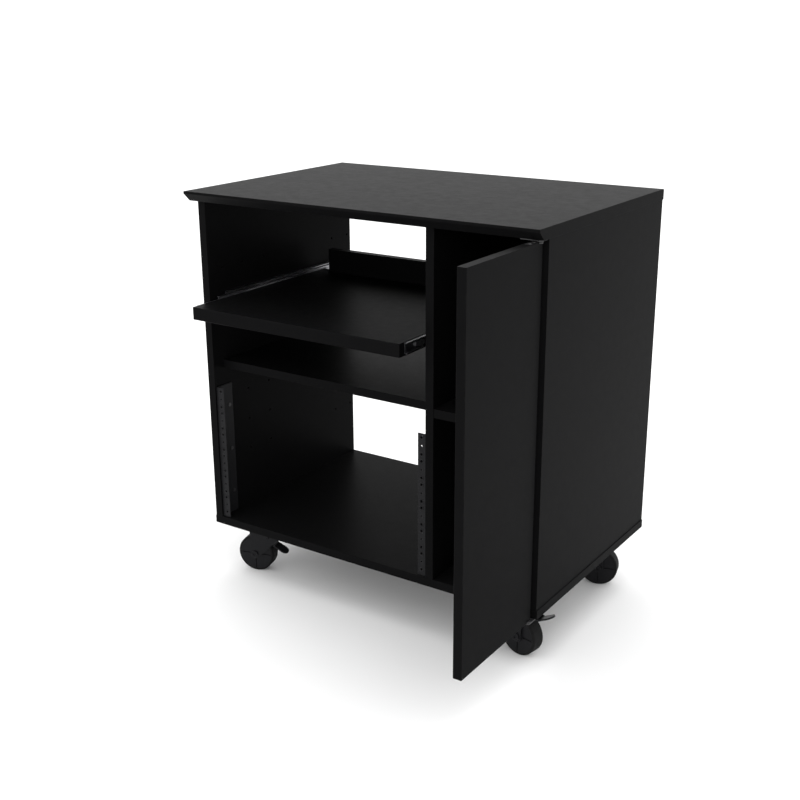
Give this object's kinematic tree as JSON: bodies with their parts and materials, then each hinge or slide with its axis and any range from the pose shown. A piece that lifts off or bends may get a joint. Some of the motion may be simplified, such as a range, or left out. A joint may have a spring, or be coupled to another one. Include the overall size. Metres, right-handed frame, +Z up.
{
  "type": "lectern podium",
  "caption": "Low mobile lectern cabinet with a sloped-edge worktop, pull-out keyboard tray, open rack bay, side cupboard with a full-height door, and braked swivel casters.",
  "frame": {"origin": "On the floor, at the middle of the footprint with the door open at a right angle and the tray drawn out a little.", "axes": "+Z up, +X to the user's right, -Y towards the user who stands in front of the open bays."},
  "size_m": [0.7385, 0.6856, 0.782],
  "materials": {
    "black_laminate": "satin black melamine laminate with a fine texture",
    "beech_dowel": "plain beech",
    "zinc_screws": "zinc plated",
    "black_screws": "black phosphate",
    "black_powder_coat": "black powder coat",
    "zinc_slide": "bright zinc plate",
    "ball_steel": "polished steel with a film of grease",
    "black_fittings": "black plated steel",
    "caster_black": "black painted pressed steel",
    "wheel_plastic": "hard black nylon",
    "wheel_tread": "black rubber"
  },
  "bodies": {
    "cabinet": {"top_panel": "black_laminate", "base_panel": "black_laminate", "left_side_panel": "black_laminate", "divider_panel": "black_laminate", "right_side_panel": "black_laminate", "left_shelf": "black_laminate", "right_shelf": "black_laminate", "right_back_panel": "black_laminate", "panel_dowels": "beech_dowel", "base_screws": "black_screws", "rack_rail_left": "black_powder_coat", "rack_rail_right": "black_powder_coat", "wall_screws": "black_screws", "slide_outer_left": "zinc_slide", "slide_outer_right": "zinc_slide", "hinge_leaf_upper": "black_fittings", "hinge_bracket_lower": "black_fittings", "fitting_screws": "zinc_screws", "caster_plates": "caster_black", "caster_kingpins": "zinc_screws", "caster_ball_rings": "ball_steel", "caster_screws": "zinc_screws"},
    "door": {"door_panel": "black_laminate", "door_leaves": "black_fittings", "door_screws": "zinc_screws"},
    "tray": {"tray_board": "black_laminate", "tray_lip": "black_laminate", "lip_screws": "zinc_screws", "slide_inner_left": "zinc_slide", "slide_inner_right": "zinc_slide", "slide_tray_screws": "zinc_screws"},
    "slide_middle_left": {"slide_middle_left": "zinc_slide"},
    "outer_cage_left": {"ball_cage_outer_left": "ball_steel"},
    "inner_cage_left": {"ball_cage_inner_left": "ball_steel"},
    "slide_middle_right": {"slide_middle_right": "zinc_slide"},
    "outer_cage_right": {"ball_cage_outer_right": "ball_steel"},
    "inner_cage_right": {"ball_cage_inner_right": "ball_steel"},
    "swivel_front_left": {"caster_fork_front_left": "caster_black", "caster_axle_front_left": "caster_black", "pedal_pin_front_left": "caster_black"},
    "wheel_front_left": {"wheel_hub_front_left": "wheel_plastic", "wheel_tyre_front_left": "wheel_tread"},
    "pedal_front_left": {"brake_pedal_front_left": "caster_black"},
    "swivel_front_right": {"caster_fork_front_right": "caster_black", "caster_axle_front_right": "caster_black", "pedal_pin_front_right": "caster_black"},
    "wheel_front_right": {"wheel_hub_front_right": "wheel_plastic", "wheel_tyre_front_right": "wheel_tread"},
    "pedal_front_right": {"brake_pedal_front_right": "caster_black"},
    "swivel_rear_left": {"caster_fork_rear_left": "caster_black", "caster_axle_rear_left": "caster_black"},
    "wheel_rear_left": {"wheel_hub_rear_left": "wheel_plastic", "wheel_tyre_rear_left": "wheel_tread"},
    "swivel_rear_right": {"caster_fork_rear_right": "caster_black", "caster_axle_rear_right": "caster_black"},
    "wheel_rear_right": {"wheel_hub_rear_right": "wheel_plastic", "wheel_tyre_rear_right": "wheel_tread"}
  },
  "joints": [
    {"name": "door_hinge", "type": "hinge", "parent": "cabinet", "child": "door", "pos_m": [0.35555, -0.1242, 0.1108], "axis": [0, 0, 1], "range_deg": [-90, 20]},
    {"name": "tray_slide", "type": "slide", "parent": "cabinet", "child": "tray", "axis": [0, -1, 0], "range_m": [-0.088, 0.292]},
    {"name": "slide_middle_left_travel", "type": "slide", "parent": "cabinet", "child": "slide_middle_left", "axis": [0, -1, 0], "range_m": [-0.044, 0.146]},
    {"name": "outer_cage_left_travel", "type": "slide", "parent": "cabinet", "child": "outer_cage_left", "axis": [0, -1, 0], "range_m": [-0.022, 0.073]},
    {"name": "inner_cage_left_travel", "type": "slide", "parent": "cabinet", "child": "inner_cage_left", "axis": [0, -1, 0], "range_m": [-0.066, 0.219]},
    {"name": "slide_middle_right_travel", "type": "slide", "parent": "cabinet", "child": "slide_middle_right", "axis": [0, -1, 0], "range_m": [-0.044, 0.146]},
    {"name": "outer_cage_right_travel", "type": "slide", "parent": "cabinet", "child": "outer_cage_right", "axis": [0, -1, 0], "range_m": [-0.022, 0.073]},
    {"name": "inner_cage_right_travel", "type": "slide", "parent": "cabinet", "child": "inner_cage_right", "axis": [0, -1, 0], "range_m": [-0.066, 0.219]},
    {"name": "swivel_front_left_turn", "type": "hinge", "parent": "cabinet", "child": "swivel_front_left", "pos_m": [-0.2645, -0.03875, 0.102], "axis": [0, 0, 1], "continuous": true},
    {"name": "wheel_front_left_roll", "type": "hinge", "parent": "swivel_front_left", "child": "wheel_front_left", "pos_m": [-0.30555, -0.04975, 0.0381], "axis": [-0.2588, 0.9659, 0], "continuous": true},
    {"name": "pedal_front_left_press", "type": "hinge", "parent": "swivel_front_left", "child": "pedal_front_left", "pos_m": [-0.27851, -0.0425, 0.0781], "axis": [-0.2588, 0.9659, 0], "range_deg": [-43, 0]},
    {"name": "swivel_front_right_turn", "type": "hinge", "parent": "cabinet", "child": "swivel_front_right", "pos_m": [0.2645, -0.03875, 0.102], "axis": [0, 0, 1], "continuous": true},
    {"name": "wheel_front_right_roll", "type": "hinge", "parent": "swivel_front_right", "child": "wheel_front_right", "pos_m": [0.30622, -0.04686, 0.0381], "axis": [0.1908, 0.9816, 0], "continuous": true},
    {"name": "pedal_front_right_press", "type": "hinge", "parent": "swivel_front_right", "child": "pedal_front_right", "pos_m": [0.32409, -0.05033, 0.0835], "axis": [0.1908, 0.9816, 0], "range_deg": [0, 43]},
    {"name": "swivel_rear_left_turn", "type": "hinge", "parent": "cabinet", "child": "swivel_rear_left", "pos_m": [-0.2645, 0.26575, 0.102], "axis": [0, 0, 1], "continuous": true},
    {"name": "wheel_rear_left_roll", "type": "hinge", "parent": "swivel_rear_left", "child": "wheel_rear_left", "pos_m": [-0.30574, 0.27603, 0.0381], "axis": [0.2419, 0.9703, 0], "continuous": true},
    {"name": "swivel_rear_right_turn", "type": "hinge", "parent": "cabinet", "child": "swivel_rear_right", "pos_m": [0.2645, 0.26575, 0.102], "axis": [0, 0, 1], "continuous": true},
    {"name": "wheel_rear_right_roll", "type": "hinge", "parent": "swivel_rear_right", "child": "wheel_rear_right", "pos_m": [0.30555, 0.27675, 0.0381], "axis": [-0.2588, 0.9659, 0], "continuous": true}
  ],
  "couplings": [
    {"joint": "slide_middle_left_travel", "follows": "tray_slide", "ratio": 0.5},
    {"joint": "outer_cage_left_travel", "follows": "tray_slide", "ratio": 0.25},
    {"joint": "inner_cage_left_travel", "follows": "tray_slide", "ratio": 0.75},
    {"joint": "slide_middle_right_travel", "follows": "tray_slide", "ratio": 0.5},
    {"joint": "outer_cage_right_travel", "follows": "tray_slide", "ratio": 0.25},
    {"joint": "inner_cage_right_travel", "follows": "tray_slide", "ratio": 0.75}
  ]
}
